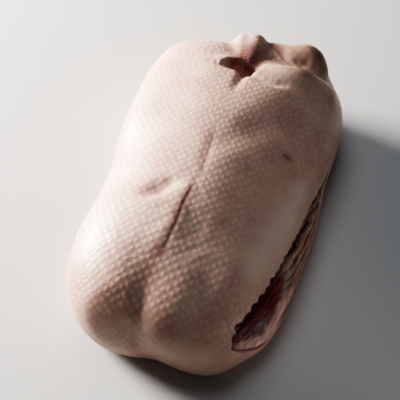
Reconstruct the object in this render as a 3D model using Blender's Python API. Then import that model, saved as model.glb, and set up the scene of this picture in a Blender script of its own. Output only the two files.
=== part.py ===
"""Whole raw goose, plucked, lying on its back with the wings cut off at the shoulder.

The form is one signed distance field in millimetres: X to the bird's right, Y toward the
tail, Z up from the table. A box grid is moved onto it from outside, then thinned.
"""
import bpy
import bmesh
import math
import numpy as np

MM = 0.001

# Whole bird
LENGTH = 358.0          # trunk, neck cut to rear of the belly
WIDTH = 222.0           # trunk across the flanks
HEIGHT = 120.0          # keel above the table
BED = 36.0              # height of the widest line of the trunk
SHIFT = (-1.31, -26.15)   # brings the box centre to the origin

ROLL_BLEND = 1.4        # softness along a roll of skin
TABLE_BLEND = 12.0      # rounding where the bird meets what it lies on

# Layers
SKIN_WALL = 6.0         # skin with its fat
LAYER_GAP = 0.35        # between skin and flesh
CUT_FLUSH = 1.2         # flesh below the skin's outer face in the middle of a wing cut
CUT_STEP = 9.0          # flesh below the skin along the upper edge of a wing cut
CUT_FRONT = 5.5         # flesh below the skin around the shoulder joint

# Meshing
SKIN_CELL = 2.5
FLESH_CELL = 3.6
SKIN_TRIANGLES = 6700
FLESH_TRIANGLES = 2700

# Wing cuts, as (Y, Z) outlines seen from the side, round from the tail end along the top
CUT_RIGHT_TOP = ((97, 47), (66, 53), (36, 58), (5, 62), (-20, 66), (-43, 70), (-67, 75),
                 (-97, 79), (-120, 79), (-136, 74), (-146, 64), (-149, 54))
CUT_RIGHT_LOW = ((-146, 44), (-136, 32), (-119, 23), (-98, 17), (-70, 15), (-30, 15),
                 (14, 19), (58, 33))
CUT_LEFT_TOP = ((80, 44), (60, 49), (36, 53), (5, 57), (-20, 60), (-43, 62), (-67, 63),
                (-97, 63), (-118, 60), (-132, 54), (-138, 46))
CUT_LEFT_LOW = ((-132, 36), (-118, 26), (-96, 20), (-66, 17), (-30, 17), (10, 21), (54, 33))
CUT_INNER_X = 66.0
CUT_OUTER_X = 150.0
SCALLOP_DEPTH = (1.2, 2.4)    # teeth left in the cut edge, at its tail end and its neck end
SCALLOP_PITCH = (9.0, 13.5)
SCALLOP_STEP = 2.3
CURVE_STEPS = 3         # straight pieces from one point of an outline to the next

# Rib and muscle relief on the flesh
RIB_PITCH = 7.0
RIB_HEIGHT = 0.9

# Shoulder joints: centre, half sizes, turn about Z
JOINT_RIGHT = ((101.6, -108.0, 48.0), (6.0, 11.0, 8.5), -28.0)
JOINT_LEFT = ((-102.6, -98.0, 43.0), (6.0, 11.0, 8.5), 14.0)
JOINT_GAP = 2.0


def smin(a, b, k):
    h = np.clip(0.5 + 0.5 * (b - a) / k, 0, 1)
    return b * (1 - h) + a * h - k * h * (1 - h)


def smax(a, b, k):
    return -smin(-a, -b, k)


def step(a, b, v):
    t = np.clip((v - a) / (b - a), 0, 1)
    return t * t * (3 - 2 * t)


def turned(p, centre, degrees):
    """points seen from a piece at centre, turned about Z"""
    t = math.radians(degrees)
    q = p - np.array(centre, float)
    x = q[..., 0] * math.cos(t) + q[..., 1] * math.sin(t)
    y = q[..., 1] * math.cos(t) - q[..., 0] * math.sin(t)
    return np.stack([x, y, q[..., 2]], -1)


def swell(p, centre, half, plan=2.0, rise=2.0, turn=0.0, ends=1.0):
    """superellipsoid: plan and rise are the powers across and up, ends fills out the Y ends"""
    q = np.maximum(np.abs(turned(p, centre, turn)) / np.array(half, float), 1e-6)
    y = q[..., 1] ** ends
    u = (q[..., 0] ** plan + y ** plan) ** (1 / plan)
    f = (u ** rise + q[..., 2] ** rise) ** (1 / rise)
    k = (u / f) ** (rise - 1)
    gx = k * (q[..., 0] / u) ** (plan - 1) / half[0]
    gy = k * (y / u) ** (plan - 1) * ends * q[..., 1] ** (ends - 1) / half[1]
    gz = (q[..., 2] / f) ** (rise - 1) / half[2]
    return (f - 1) / np.maximum(np.sqrt(gx * gx + gy * gy + gz * gz), 1e-6)


def along(p, a, b):
    """distance to a segment and the share of the way along it"""
    a = np.array(a, float)
    ab = np.array(b, float) - a
    t = np.clip(((p - a) @ ab) / (ab @ ab), 0, 1)
    return np.linalg.norm(p - a - t[..., None] * ab, axis=-1), t


def smooth_line(points, steps):
    """a smooth curve through points, which may carry a width as well"""
    c = np.array(points, float)
    c = np.vstack([2 * c[0] - c[1], c, 2 * c[-1] - c[-2]])
    line = []
    for i in range(1, len(c) - 2):
        for t in np.arange(steps) / steps:
            a, b, d, e = c[i - 1], c[i], c[i + 1], c[i + 2]
            cubic = (3 * b - a - 3 * d + e) * t ** 3
            line.append(0.5 * (2 * b + (d - a) * t + (2 * a - 5 * b + 4 * d - e) * t * t + cubic))
    line.append(c[-2])
    return line


def roll(p, points, radii, steps=6):
    """distance to a smooth fleshy roll through points"""
    line = smooth_line([list(a) + [r] for a, r in zip(points, radii)], steps)
    total = 0.0
    for a, b in zip(line[:-1], line[1:]):
        s, t = along(p, a[:3], b[:3])
        s = s - a[3] - (b[3] - a[3]) * t
        total = total + np.exp(-np.clip(s / ROLL_BLEND, -60, 60))
    return (1.3 - np.log(np.maximum(total, 1e-30))) * ROLL_BLEND


def relief(p, points, widths, heights, upright=0.35):
    """soft furrow (positive) or ridge (negative) along points"""
    w = np.array([1, 1, upright])
    points = np.array(points, float)
    best = np.zeros(p.shape[:-1])
    for i in range(len(points) - 1):
        s, t = along(p * w, points[i] * w, points[i + 1] * w)
        wide = widths[i] + (widths[i + 1] - widths[i]) * t
        high = heights[i] + (heights[i + 1] - heights[i]) * t
        v = high * np.exp(-(s / wide) ** 2)
        best = np.where(np.abs(v) > np.abs(best), v, best)
    return best


def facet(p, point, normal):
    n = np.array(normal, float)
    return (p - np.array(point, float)) @ (n / np.linalg.norm(n))


def bird(p):
    """outer face of the bird, before the table flattens its back"""
    x = p[:, 0]
    y = p[:, 1]
    half = (WIDTH / 2, LENGTH / 2, HEIGHT - BED)
    d = swell(p, (1, 31, BED), half, 4.0, 2.2, 1.9, 1.75)

    def join(here, shape, k):
        d[here] = smin(d[here], shape(p[here]), k)

    def carve(here, shape, k):
        d[here] = smax(d[here], -shape(p[here]), k)

    def mark(here, *line):
        d[here] += relief(p[here], *line)

    # thighs under the skin
    join(y > -15, lambda q: swell(q, (-63, 108, 50), (54, 96, 50), 3.0, 2.3), 14)
    join(y > -5, lambda q: swell(q, (60, 112, 48), (50, 84, 50), 3.0, 2.3), 14)
    # left breast, cut flat where the neck came off
    join(y < 40, lambda q: swell(q, (-27, -82, 40), (80, 94, 75), 2.2, 2.2), 16)
    carve(y < -40, lambda q: -facet(q, (-30, -161, 74), (0.12, -0.89, 0.45)), 7)
    # right breast, highest beside the keel
    join(y < 40, lambda q: swell(q, (43, -84, 38), (61, 88, 70), 2.6, 2.2), 14)
    join(y < 40, lambda q: swell(q, (21, -96, 56), (43, 76, 52), 2.3, 2.1), 14)
    # ridge of the keel between the breasts
    keel = ((-2, -20, 88), (-3, -50, 87), (-3, -80, 85), (-5, -106, 80), (-7, -130, 73))
    join(y < 30, lambda q: roll(q, keel, (26, 30, 30, 28, 25)), 14)
    # flanks spread on the table
    join(x > 15, lambda q: swell(q, (82, -22, 26), (39, 112, 36), 2.8, 2.2), 14)
    join(x < -15, lambda q: swell(q, (-77, -20, 28), (31, 92, 34), 2.8, 2.2), 14)
    # rump, and the rolls of skin on either side of the vent and behind it
    tail = y > 100
    join(tail, lambda q: swell(q, (8, 174, 44), (84, 46, 50), 2.5, 2.2), 14)
    under = ((-22, 196, 56), (12, 202, 58), (54, 200, 56))
    join(tail, lambda q: roll(q, under, (21, 24, 25)), 18)
    left = ((-78, 170, 71), (-52, 176, 79), (-24, 184, 84))
    join(tail, lambda q: roll(q, left, (20, 20, 15)), 16)
    back = ((8, 203, 84), (30, 204, 85), (50, 210, 84), (64, 202, 80))
    join(tail, lambda q: roll(q, back, (14, 15, 17, 14)), 10)
    right = ((12, 162, 98), (32, 163, 97), (54, 166, 94), (80, 165, 78))
    join(tail, lambda q: roll(q, right, (10, 15, 17, 20)), 5)
    # vent, opening to the left under the belly's edge, and the tail above it
    vent = ((-46, 151, 113), (-32, 153, 109), (-20, 157, 106), (-8, 156, 103), (0, 155, 100))
    carve(tail, lambda q: roll(q, vent, (2, 4, 9, 9, 7), 12), 3)
    join(tail, lambda q: roll(q, ((-2, 158, 77), (-12, 177, 87), (-24, 201, 89)), (12, 14, 15)), 5)
    join(tail, lambda q: roll(q, ((1, 158, 76), (-3, 178, 87), (-9, 204, 90)), (12, 15, 16)), 5)
    # folds between the rolls, and on either side of the tail
    between = ((8, 178, 107), (24, 181, 110), (40, 186, 109), (55, 190, 105),
               (72, 192, 98), (86, 188, 88))
    carve(tail, lambda q: roll(q, between, (5, 6, 6, 6, 6, 4), 8), 3)
    # fold between the right roll and the belly
    fold = ((0, 147, 112), (19, 142, 114), (34, 142, 113), (50, 149, 108))
    mark(tail, fold, (4, 4, 4, 5), (2.5, 3.2, 2.6, 0.2))
    beside = ((0, 156, 107), (3, 168, 107), (7, 182, 108), (9, 197, 109), (9, 216, 104))
    carve(tail, lambda q: roll(q, beside, (5, 6, 6, 5, 5), 8), 5)
    carve(tail, lambda q: roll(q, ((-24, 176, 112), (-33, 192, 108), (-38, 210, 94)), (4, 5, 5), 12), 7)
    # furrow of the keel: deep at the vent, a thin crease along the breastbone, deep at the neck
    middle = np.abs(x) < 50
    mark(middle & (y > 60), ((-2, 152, 104), (-3, 136, 112), (-4, 112, 117)), (6, 4.5, 5), (7, 3, 0.2))
    crease = ((-5, 66, 117), (-4, 44, 118), (-1, 18, 119), (1, -4, 120), (-2, -18, 120), (-3, -40, 119),
              (-2, -66, 118), (-3, -88, 114), (-4, -106, 108))
    wide = (7, 6, 5, 4, 3, 2.6, 2.6, 4, 8)
    mark(middle & (y > -120), crease, wide, (0.1, 0.6, 0.6, 0.2, 0.3, 0.4, 0.45, 0.45, 0.3))
    neck = ((-3, -80, 116), (-6, -112, 107), (-9, -134, 92), (-8, -150, 72), (-2, -160, 44))
    mark(middle & (y < -20), neck, (14, 17, 14, 10, 8), (0.2, 1.5, 3.2, 4.2, 4))
    # hollow and ridge where the right breast ends at the belly
    waist = (y > -50) & (y < 180)
    hollow = ((0, 30, 119), (12, 50, 119), (32, 74, 116), (60, 104, 108))
    mark(waist, hollow, (11, 14, 18, 22), (0.4, 1.2, 1.7, 0.8))
    ridge = ((4, 10, 119), (16, 28, 119), (38, 48, 118), (64, 68, 111))
    mark(waist, ridge, (9, 13, 16, 18), (-0.1, -0.5, -0.6, -0.2))
    # the right side falls away from the keel
    side = ((50, -112, 106), (58, -70, 106), (58, -30, 108), (50, 20, 112), (46, 80, 114), (44, 120, 110))
    wide = (26, 34, 34, 34, 32, 26)
    mark((x > -50) & (y < 190), side, wide, (2.5, 5.5, 5.0, 3.4, 2.6, 0.8))
    # dimple and fold on the left breast
    chest = (y > -100) & (y < 50)
    hollow = ((-8, -8, 119), (-20, -22, 119), (-33, -33, 116))
    mark(chest, hollow, (9, 10, 9), (0.2, 1.0, 1.9), 1.0)
    mark(chest, ((-30, -36, 117), (-37, -37, 115)), (5, 6), (0.8, 0.5), 1.0)
    ridge = ((-5, -18, 119), (-16, -34, 119), (-30, -47, 117), (-48, -52, 112))
    mark(chest, ridge, (7, 9, 10, 11), (-0.2, -0.8, -0.9, -0.2), 1.0)
    return d


def outer(p):
    """outer face of the bird, flattened on the table"""
    return smax(bird(p), -p[:, 2], TABLE_BLEND)


def outline(top, low, scallop):
    """closed (Y, Z) outline of a wing cut, its top edge toothed"""
    lower = np.array(smooth_line((top[-1],) + low + (top[0],), CURVE_STEPS))
    top = np.array(smooth_line(top, CURVE_STEPS))
    whole = np.linalg.norm(np.diff(top, axis=0), axis=1).sum()
    edge = []
    travelled = 0.0
    phase = 0.0
    for a, b in zip(top[:-1], top[1:]):
        size = np.linalg.norm(b - a)
        across = np.array((b[1] - a[1], a[0] - b[0])) / size
        count = max(1, round(size / SCALLOP_STEP))
        for i in range(count):
            share = (travelled + size * i / count) / whole
            depth = np.interp(share, (0, 1), SCALLOP_DEPTH) if scallop else 0.0
            tooth = depth * abs(math.sin(math.pi * phase))
            edge.append(a + (b - a) * i / count + across * tooth)
            phase += size / count / np.interp(share, (0, 1), SCALLOP_PITCH)
        travelled += size
    return np.array(edge + list(lower[:-1]))


def inside(y, z, ring):
    """distance into an outline, negative outside it"""
    away = np.full(y.shape, 1e9)
    odd = np.zeros(y.shape, bool)
    for a, b in zip(ring, np.roll(ring, -1, axis=0)):
        ab = b - a
        t = np.clip(((y - a[0]) * ab[0] + (z - a[1]) * ab[1]) / (ab @ ab), 0, 1)
        away = np.minimum(away, np.hypot(y - a[0] - t * ab[0], z - a[1] - t * ab[1]))
        if ab[1] != 0:
            crossing = (a[1] > z) != (b[1] > z)
            odd ^= crossing & (y < a[0] + ab[0] * (z - a[1]) / ab[1])
    return np.where(odd, away, -away)


RING_RIGHT = outline(CUT_RIGHT_TOP, CUT_RIGHT_LOW, False)
RING_LEFT = outline(CUT_LEFT_TOP, CUT_LEFT_LOW, False)


def top_edge(y, top):
    ys = [q[0] for q in top][::-1]
    zs = [q[1] for q in top][::-1]
    return np.interp(y, ys, zs)


def flesh_depth(p):
    """depth of the flesh below the outer face: even under the skin, rising in the wing cuts"""
    covered = SKIN_WALL + LAYER_GAP
    depth = np.full(p.shape[:-1], covered)
    for side, ring, top in ((1, RING_RIGHT, CUT_RIGHT_TOP), (-1, RING_LEFT, CUT_LEFT_TOP)):
        here = p[..., 0] * side > CUT_INNER_X
        y = p[..., 1][here]
        z = p[..., 2][here]
        within = inside(y, z, ring)
        below = top_edge(y, top) - z
        floor = CUT_FLUSH + (CUT_FRONT - CUT_FLUSH) * step(-45, -85, y)
        floor = floor + (CUT_STEP - floor) * (1 - step(3, 15, below))
        streak = 2 * math.pi * (below * 0.9 + y * 0.16) / RIB_PITCH
        floor = floor - RIB_HEIGHT * np.sin(streak) * step(3, 9, within)
        depth[here] = covered + (floor - covered) * step(1.2, 6.5, within)
    return depth


def flesh(p):
    """outer face of the flesh, socketed round the shoulder joints"""
    d = outer(p) + flesh_depth(p)
    for side, (centre, half, turn) in ((1, JOINT_RIGHT), (-1, JOINT_LEFT)):
        q = turned(p, centre, turn)
        q[..., 0] = side * np.minimum(side * q[..., 0], 0)
        socket = swell(q, (0, 0, 0), [h + JOINT_GAP for h in half])
        d = smax(d, -socket, 0.8)
    return d


def onto(field, start, aim, steps=90):
    """first point of each ray from start toward aim that lies on the field"""
    way = aim - start
    reach = np.linalg.norm(way, axis=1)
    way = way / reach[:, None]
    t = np.zeros(len(start))
    live = np.arange(len(start))
    for _ in range(steps):
        f = field(start[live] + way[live] * t[live, None])
        t[live] = np.minimum(t[live] + f * 0.85, reach[live])
        live = live[np.abs(f) > 0.02]
        if len(live) == 0:
            break
    return start + way * t[:, None]


def box_grid(cell, low, high, core_low, core_high):
    """box grid of square cells, with the inner point each of its vertices is moved toward"""
    low = np.array(low, float)
    high = np.array(high, float)
    counts = [max(2, round(s / cell)) for s in high - low]
    index = {}
    points = []
    quads = []

    def vertex(key):
        if key not in index:
            index[key] = len(points)
            points.append(key)
        return index[key]

    for axis in range(3):
        u = (axis + 1) % 3
        v = (axis + 2) % 3
        for end in (0, 1):
            for i in range(counts[u]):
                for j in range(counts[v]):
                    ring = []
                    for a, b in ((0, 0), (1, 0), (1, 1), (0, 1)):
                        key = [0, 0, 0]
                        key[axis] = counts[axis] * end
                        key[u] = i + a
                        key[v] = j + b
                        ring.append(vertex(tuple(key)))
                    quads.append(ring if end else ring[::-1])
    share = np.array(points, float) / np.array(counts, float)
    start = low + (high - low) * share
    core_low = np.array(core_low, float)
    aim = core_low + (np.array(core_high, float) - core_low) * share
    return start, aim, quads


def solid(name, field, cell, triangles):
    """closed mesh of a field, thinned to a triangle count"""
    low = (-135, -185, -12)
    high = (138, 240, 135)
    start, aim, quads = box_grid(cell, low, high, (-72, -112, 34), (72, 150, 62))
    placed = onto(field, start, aim)
    mesh = bpy.data.meshes.new(name)
    mesh.from_pydata((placed + np.array([SHIFT[0], SHIFT[1], 0])) * MM, [], quads)
    mesh.update()
    thick = bpy.data.objects.new(name + "_fine", mesh)
    bpy.context.scene.collection.objects.link(thick)
    thin = thick.modifiers.new("thin", "DECIMATE")
    thin.ratio = triangles / (2 * len(quads))
    thin.use_collapse_triangulate = True
    graph = bpy.context.evaluated_depsgraph_get()
    result = bpy.data.meshes.new_from_object(thick.evaluated_get(graph))
    bpy.data.objects.remove(thick)
    result.name = name
    return result


def prism(name, ring, side):
    """cutter with a (Y, Z) outline, from inside the flesh to outside the skin"""
    near = side * CUT_INNER_X
    far = side * CUT_OUTER_X
    n = len(ring)
    verts = [(near, y, z) for y, z in ring] + [(far, y, z) for y, z in ring]
    shift = np.array([SHIFT[0], SHIFT[1], 0])
    verts = [tuple((np.array(v) + shift) * MM) for v in verts]
    faces = [tuple(range(n)), tuple(range(2 * n - 1, n - 1, -1))]
    faces += [(i, n + i, n + (i + 1) % n, (i + 1) % n) for i in range(n)]
    mesh = bpy.data.meshes.new(name)
    mesh.from_pydata(verts, [], faces)
    fixed = bmesh.new()
    fixed.from_mesh(mesh)
    bmesh.ops.recalc_face_normals(fixed, faces=fixed.faces)
    bmesh.ops.triangulate(fixed, faces=fixed.faces)
    fixed.to_mesh(mesh)
    fixed.free()
    return mesh


def add(name, mesh, collection, material=None):
    thing = bpy.data.objects.new(name, mesh)
    collection.objects.link(thing)
    if material:
        mesh.materials.clear()
        mesh.materials.append(material)
    return thing


def cut(thing, cutter):
    tool = thing.modifiers.new("cut_" + cutter.name, "BOOLEAN")
    tool.operation = "DIFFERENCE"
    tool.solver = "EXACT"
    tool.object = cutter


def surface(name, colour, roughness, metallic=0.0):
    material = bpy.data.materials.new(name)
    material.use_nodes = True
    shader = material.node_tree.nodes["Principled BSDF"]
    shader.inputs["Base Color"].default_value = (*colour, 1.0)
    shader.inputs["Roughness"].default_value = roughness
    shader.inputs["Metallic"].default_value = metallic
    material.diffuse_color = (*colour, 1.0)
    return material


for old in list(bpy.data.objects):
    bpy.data.objects.remove(old)

goose = bpy.data.collections.new("whole_raw_goose")
cutters = bpy.data.collections.new("cutters")
for group in (goose, cutters):
    bpy.context.scene.collection.children.link(group)

skin_finish = surface("skin", (0.62, 0.45, 0.37), 0.42)
flesh_finish = surface("flesh", (0.24, 0.035, 0.035), 0.32)
joint_finish = surface("cartilage", (0.33, 0.27, 0.29), 0.28)

# Flesh: one carcass running through from wing cut to wing cut
flesh_mesh = solid("flesh", flesh, FLESH_CELL, FLESH_TRIANGLES)
add("flesh", flesh_mesh, goose, flesh_finish)

# Skin: shell over the flesh, open at both wing cuts
skin_body = add("skin", solid("skin", outer, SKIN_CELL, SKIN_TRIANGLES), goose, skin_finish)
room_mesh = flesh_mesh.copy()
room = bmesh.new()
room.from_mesh(room_mesh)
room.normal_update()
for v in room.verts:
    v.co += v.normal * LAYER_GAP * MM
room.to_mesh(room_mesh)
room.free()
tools = [add("room_for_flesh", room_mesh, cutters)]
ring_right = outline(CUT_RIGHT_TOP, CUT_RIGHT_LOW, True)
ring_left = outline(CUT_LEFT_TOP, CUT_LEFT_LOW, True)
tools.append(add("wing_cut_right", prism("wing_cut_right", ring_right, 1), cutters))
tools.append(add("wing_cut_left", prism("wing_cut_left", ring_left, -1), cutters))
for tool in tools:
    cut(skin_body, tool)
    tool.hide_render = True
    tool.display_type = "WIRE"

# Shoulder joints: bare ends of gristle left in the wing cuts
for name, (centre, half, turn) in (("shoulder_joint_right", JOINT_RIGHT),
                                   ("shoulder_joint_left", JOINT_LEFT)):
    ball = bmesh.new()
    bmesh.ops.create_uvsphere(ball, u_segments=14, v_segments=9, radius=1.0)
    bmesh.ops.triangulate(ball, faces=ball.faces)
    t = math.radians(turn)
    for v in ball.verts:
        x = v.co.x * half[0]
        y = v.co.y * half[1]
        v.co.z = (v.co.z * half[2] + centre[2]) * MM
        v.co.x = (x * math.cos(t) - y * math.sin(t) + centre[0] + SHIFT[0]) * MM
        v.co.y = (x * math.sin(t) + y * math.cos(t) + centre[1] + SHIFT[1]) * MM
    mesh = bpy.data.meshes.new(name)
    ball.to_mesh(mesh)
    ball.free()
    add(name, mesh, goose, joint_finish)
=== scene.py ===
"""Whole raw goose, plucked, on its back: the finish of its skin, meat and gristle.

The pieces are worked out in millimetres: X to the bird's right, Y toward the tail, Z up.
"""

import math

import bpy
import numpy as np
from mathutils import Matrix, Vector


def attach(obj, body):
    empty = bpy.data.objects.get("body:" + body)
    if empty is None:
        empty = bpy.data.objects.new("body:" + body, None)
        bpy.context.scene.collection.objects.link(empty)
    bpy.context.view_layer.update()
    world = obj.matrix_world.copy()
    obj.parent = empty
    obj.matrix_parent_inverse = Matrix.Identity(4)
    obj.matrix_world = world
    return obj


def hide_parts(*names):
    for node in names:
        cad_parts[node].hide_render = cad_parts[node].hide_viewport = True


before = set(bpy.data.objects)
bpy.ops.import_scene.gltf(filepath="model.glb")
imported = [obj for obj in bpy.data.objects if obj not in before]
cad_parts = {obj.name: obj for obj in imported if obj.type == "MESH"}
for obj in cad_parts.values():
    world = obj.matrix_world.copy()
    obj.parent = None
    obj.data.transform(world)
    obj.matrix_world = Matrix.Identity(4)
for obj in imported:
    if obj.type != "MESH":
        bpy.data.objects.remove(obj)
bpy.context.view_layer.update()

# ---------------------------------------------------------------------------------------
# The carcass: one body of meat and bone from wing cut to wing cut. It shows only where a
# wing came off, as a pocket under the skin painted near black as shade, long bands of
# muscle over the ribs with painted shade in the slits between them, and a pale lip of fat.
# The bird's outer form is worked out here, as the meat lies under it.
# ---------------------------------------------------------------------------------------
MM = 0.001
SHIFT = np.array((-1.31, -26.15, 0.0))     # from the middle of the trunk to the frame's origin
LENGTH = 358.0
WIDTH = 222.0
HEIGHT = 120.0
BED = 36.0              # height of the widest line of the trunk
ROLL_BLEND = 1.4        # softness along a roll of skin
ROLL_TRIM = 1.3         # takes off what the overlap of its stretches adds
TABLE_BLEND = 12.0      # rounding where the bird meets what it lies on


def smin(a, b, k):
    h = np.clip(0.5 + 0.5 * (b - a) / k, 0, 1)
    return b * (1 - h) + a * h - k * h * (1 - h)


def smax(a, b, k):
    return -smin(-a, -b, k)


def step(a, b, v):
    t = np.clip((v - a) / (b - a), 0, 1)
    return t * t * (3 - 2 * t)


def turned(p, centre, degrees):
    """points seen from a piece at centre, turned about Z"""
    t = math.radians(degrees)
    q = p - np.array(centre, float)
    x = q[..., 0] * math.cos(t) + q[..., 1] * math.sin(t)
    y = q[..., 1] * math.cos(t) - q[..., 0] * math.sin(t)
    return np.stack([x, y, q[..., 2]], -1)


def swell(p, centre, half, plan=2.0, rise=2.0, turn=0.0, ends=1.0):
    """superellipsoid: plan and rise are the powers across and up, ends fills out the Y ends"""
    q = np.maximum(np.abs(turned(p, centre, turn)) / np.array(half, float), 1e-6)
    y = q[..., 1] ** ends
    u = (q[..., 0] ** plan + y ** plan) ** (1 / plan)
    f = (u ** rise + q[..., 2] ** rise) ** (1 / rise)
    k = (u / f) ** (rise - 1)
    gx = k * (q[..., 0] / u) ** (plan - 1) / half[0]
    gy = k * (y / u) ** (plan - 1) * ends * q[..., 1] ** (ends - 1) / half[1]
    gz = (q[..., 2] / f) ** (rise - 1) / half[2]
    return (f - 1) / np.maximum(np.sqrt(gx * gx + gy * gy + gz * gz), 1e-6)


def along(p, a, b):
    """distance to a segment and the share of the way along it"""
    a = np.array(a, float)
    ab = np.array(b, float) - a
    t = np.clip(((p - a) @ ab) / (ab @ ab), 0, 1)
    return np.linalg.norm(p - a - t[..., None] * ab, axis=-1), t


def smooth_line(points, steps):
    """a smooth curve through points, which may carry a width as well"""
    c = np.array(points, float)
    c = np.vstack([2 * c[0] - c[1], c, 2 * c[-1] - c[-2]])
    line = []
    for i in range(1, len(c) - 2):
        for t in np.arange(steps) / steps:
            a, b, d, e = c[i - 1], c[i], c[i + 1], c[i + 2]
            cubic = (3 * b - a - 3 * d + e) * t ** 3
            line.append(0.5 * (2 * b + (d - a) * t + (2 * a - 5 * b + 4 * d - e) * t * t + cubic))
    line.append(c[-2])
    return line


def roll(p, points, radii, steps=6):
    """distance to a smooth fleshy roll through points"""
    line = smooth_line([list(a) + [r] for a, r in zip(points, radii)], steps)
    total = 0.0
    for a, b in zip(line[:-1], line[1:]):
        s, t = along(p, a[:3], b[:3])
        s = s - a[3] - (b[3] - a[3]) * t
        total = total + np.exp(-np.clip(s / ROLL_BLEND, -60, 60))
    return (ROLL_TRIM - np.log(np.maximum(total, 1e-30))) * ROLL_BLEND


def relief(p, points, widths, heights, upright=0.35):
    """soft furrow (positive) or ridge (negative) along points"""
    w = np.array([1, 1, upright])
    points = np.array(points, float)
    best = np.zeros(p.shape[:-1])
    for i in range(len(points) - 1):
        s, t = along(p * w, points[i] * w, points[i + 1] * w)
        wide = widths[i] + (widths[i + 1] - widths[i]) * t
        high = heights[i] + (heights[i + 1] - heights[i]) * t
        v = high * np.exp(-(s / wide) ** 2)
        best = np.where(np.abs(v) > np.abs(best), v, best)
    return best


def facet(p, point, normal):
    n = np.array(normal, float)
    return (p - np.array(point, float)) @ (n / np.linalg.norm(n))


def bird(p):
    """outer face of the bird, before the table flattens its back"""
    x = p[:, 0]
    y = p[:, 1]
    half = (WIDTH / 2, LENGTH / 2, HEIGHT - BED)
    d = swell(p, (1, 31, BED), half, 4.0, 2.2, 1.9, 1.75)

    def lump(here, k, *sizes):
        d[here] = smin(d[here], swell(p[here], *sizes), k)

    def tube(here, k, *line):
        d[here] = smin(d[here], roll(p[here], *line), k)

    def groove(here, k, *line):
        d[here] = smax(d[here], -roll(p[here], *line), k)

    def mark(here, *line):
        d[here] += relief(p[here], *line)

    # thighs under the skin
    lump(y > -15, 14, (-63, 108, 50), (54, 96, 50), 3.0, 2.3)
    lump(y > -5, 14, (60, 112, 48), (50, 84, 50), 3.0, 2.3)
    # left breast, cut flat where the neck came off
    lump(y < 40, 16, (-27, -82, 40), (80, 94, 75), 2.2, 2.2)
    neck_end = y < -40
    cut_flat = facet(p[neck_end], (-30, -161, 74), (0.12, -0.89, 0.45))
    d[neck_end] = smax(d[neck_end], cut_flat, 7)
    # right breast, highest beside the keel
    lump(y < 40, 14, (43, -84, 38), (61, 88, 70), 2.6, 2.2)
    lump(y < 40, 14, (21, -96, 56), (43, 76, 52), 2.3, 2.1)
    # ridge of the keel between the breasts
    keel = ((-2, -20, 88), (-3, -50, 87), (-3, -80, 85), (-5, -106, 80), (-7, -130, 73))
    tube(y < 30, 14, keel, (26, 30, 30, 28, 25))
    # flanks spread on the table
    lump(x > 15, 14, (82, -22, 26), (39, 112, 36), 2.8, 2.2)
    lump(x < -15, 14, (-77, -20, 28), (31, 92, 34), 2.8, 2.2)
    # rump, and the rolls of skin on either side of the vent and behind it
    tail = y > 100
    lump(tail, 14, (8, 174, 44), (84, 46, 50), 2.5, 2.2)
    under = ((-22, 196, 56), (12, 202, 58), (54, 200, 56))
    tube(tail, 18, under, (21, 24, 25))
    left = ((-78, 170, 71), (-52, 176, 79), (-24, 184, 84))
    tube(tail, 16, left, (20, 20, 15))
    back = ((8, 203, 84), (30, 204, 85), (50, 210, 84), (64, 202, 80))
    tube(tail, 10, back, (14, 15, 17, 14))
    right = ((12, 162, 98), (32, 163, 97), (54, 166, 94), (80, 165, 78))
    tube(tail, 5, right, (10, 15, 17, 20))
    # vent, opening to the left under the belly's edge, and the tail above it
    vent = ((-46, 151, 113), (-32, 153, 109), (-20, 157, 106), (-8, 156, 103), (0, 155, 100))
    groove(tail, 3, vent, (2, 4, 9, 9, 7), 12)
    tube(tail, 5, ((-2, 158, 77), (-12, 177, 87), (-24, 201, 89)), (12, 14, 15))
    tube(tail, 5, ((1, 158, 76), (-3, 178, 87), (-9, 204, 90)), (12, 15, 16))
    # folds between the rolls, and on either side of the tail
    between = ((8, 178, 107), (24, 181, 110), (40, 186, 109), (55, 190, 105),
               (72, 192, 98), (86, 188, 88))
    groove(tail, 3, between, (5, 6, 6, 6, 6, 4), 8)
    # fold between the right roll and the belly
    fold = ((0, 147, 112), (19, 142, 114), (34, 142, 113), (50, 149, 108))
    mark(tail, fold, (4, 4, 4, 5), (2.5, 3.2, 2.6, 0.2))
    beside = ((0, 156, 107), (3, 168, 107), (7, 182, 108), (9, 197, 109), (9, 216, 104))
    groove(tail, 5, beside, (5, 6, 6, 5, 5), 8)
    groove(tail, 7, ((-24, 176, 112), (-33, 192, 108), (-38, 210, 94)), (4, 5, 5), 12)
    # furrow of the keel: deep at the vent, a thin crease along the breastbone, deep at the neck
    middle = np.abs(x) < 50
    mark(middle & (y > 60), ((-2, 152, 104), (-3, 136, 112), (-4, 112, 117)), (6, 4.5, 5), (7, 3, 0.2))
    crease = ((-5, 66, 117), (-4, 44, 118), (-1, 18, 119), (1, -4, 120), (-2, -18, 120), (-3, -40, 119),
              (-2, -66, 118), (-3, -88, 114), (-4, -106, 108))
    wide = (7, 6, 5, 4, 3, 2.6, 2.6, 4, 8)
    mark(middle & (y > -120), crease, wide, (0.1, 0.6, 0.6, 0.2, 0.3, 0.4, 0.45, 0.45, 0.3))
    neck = ((-3, -80, 116), (-6, -112, 107), (-9, -134, 92), (-8, -150, 72), (-2, -160, 44))
    mark(middle & (y < -20), neck, (14, 17, 14, 10, 8), (0.2, 1.5, 3.2, 4.2, 4))
    # hollow and ridge where the right breast ends at the belly
    waist = (y > -50) & (y < 180)
    hollow = ((0, 30, 119), (12, 50, 119), (32, 74, 116), (60, 104, 108))
    mark(waist, hollow, (11, 14, 18, 22), (0.4, 1.2, 1.7, 0.8))
    ridge = ((4, 10, 119), (16, 28, 119), (38, 48, 118), (64, 68, 111))
    mark(waist, ridge, (9, 13, 16, 18), (-0.1, -0.5, -0.6, -0.2))
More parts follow.
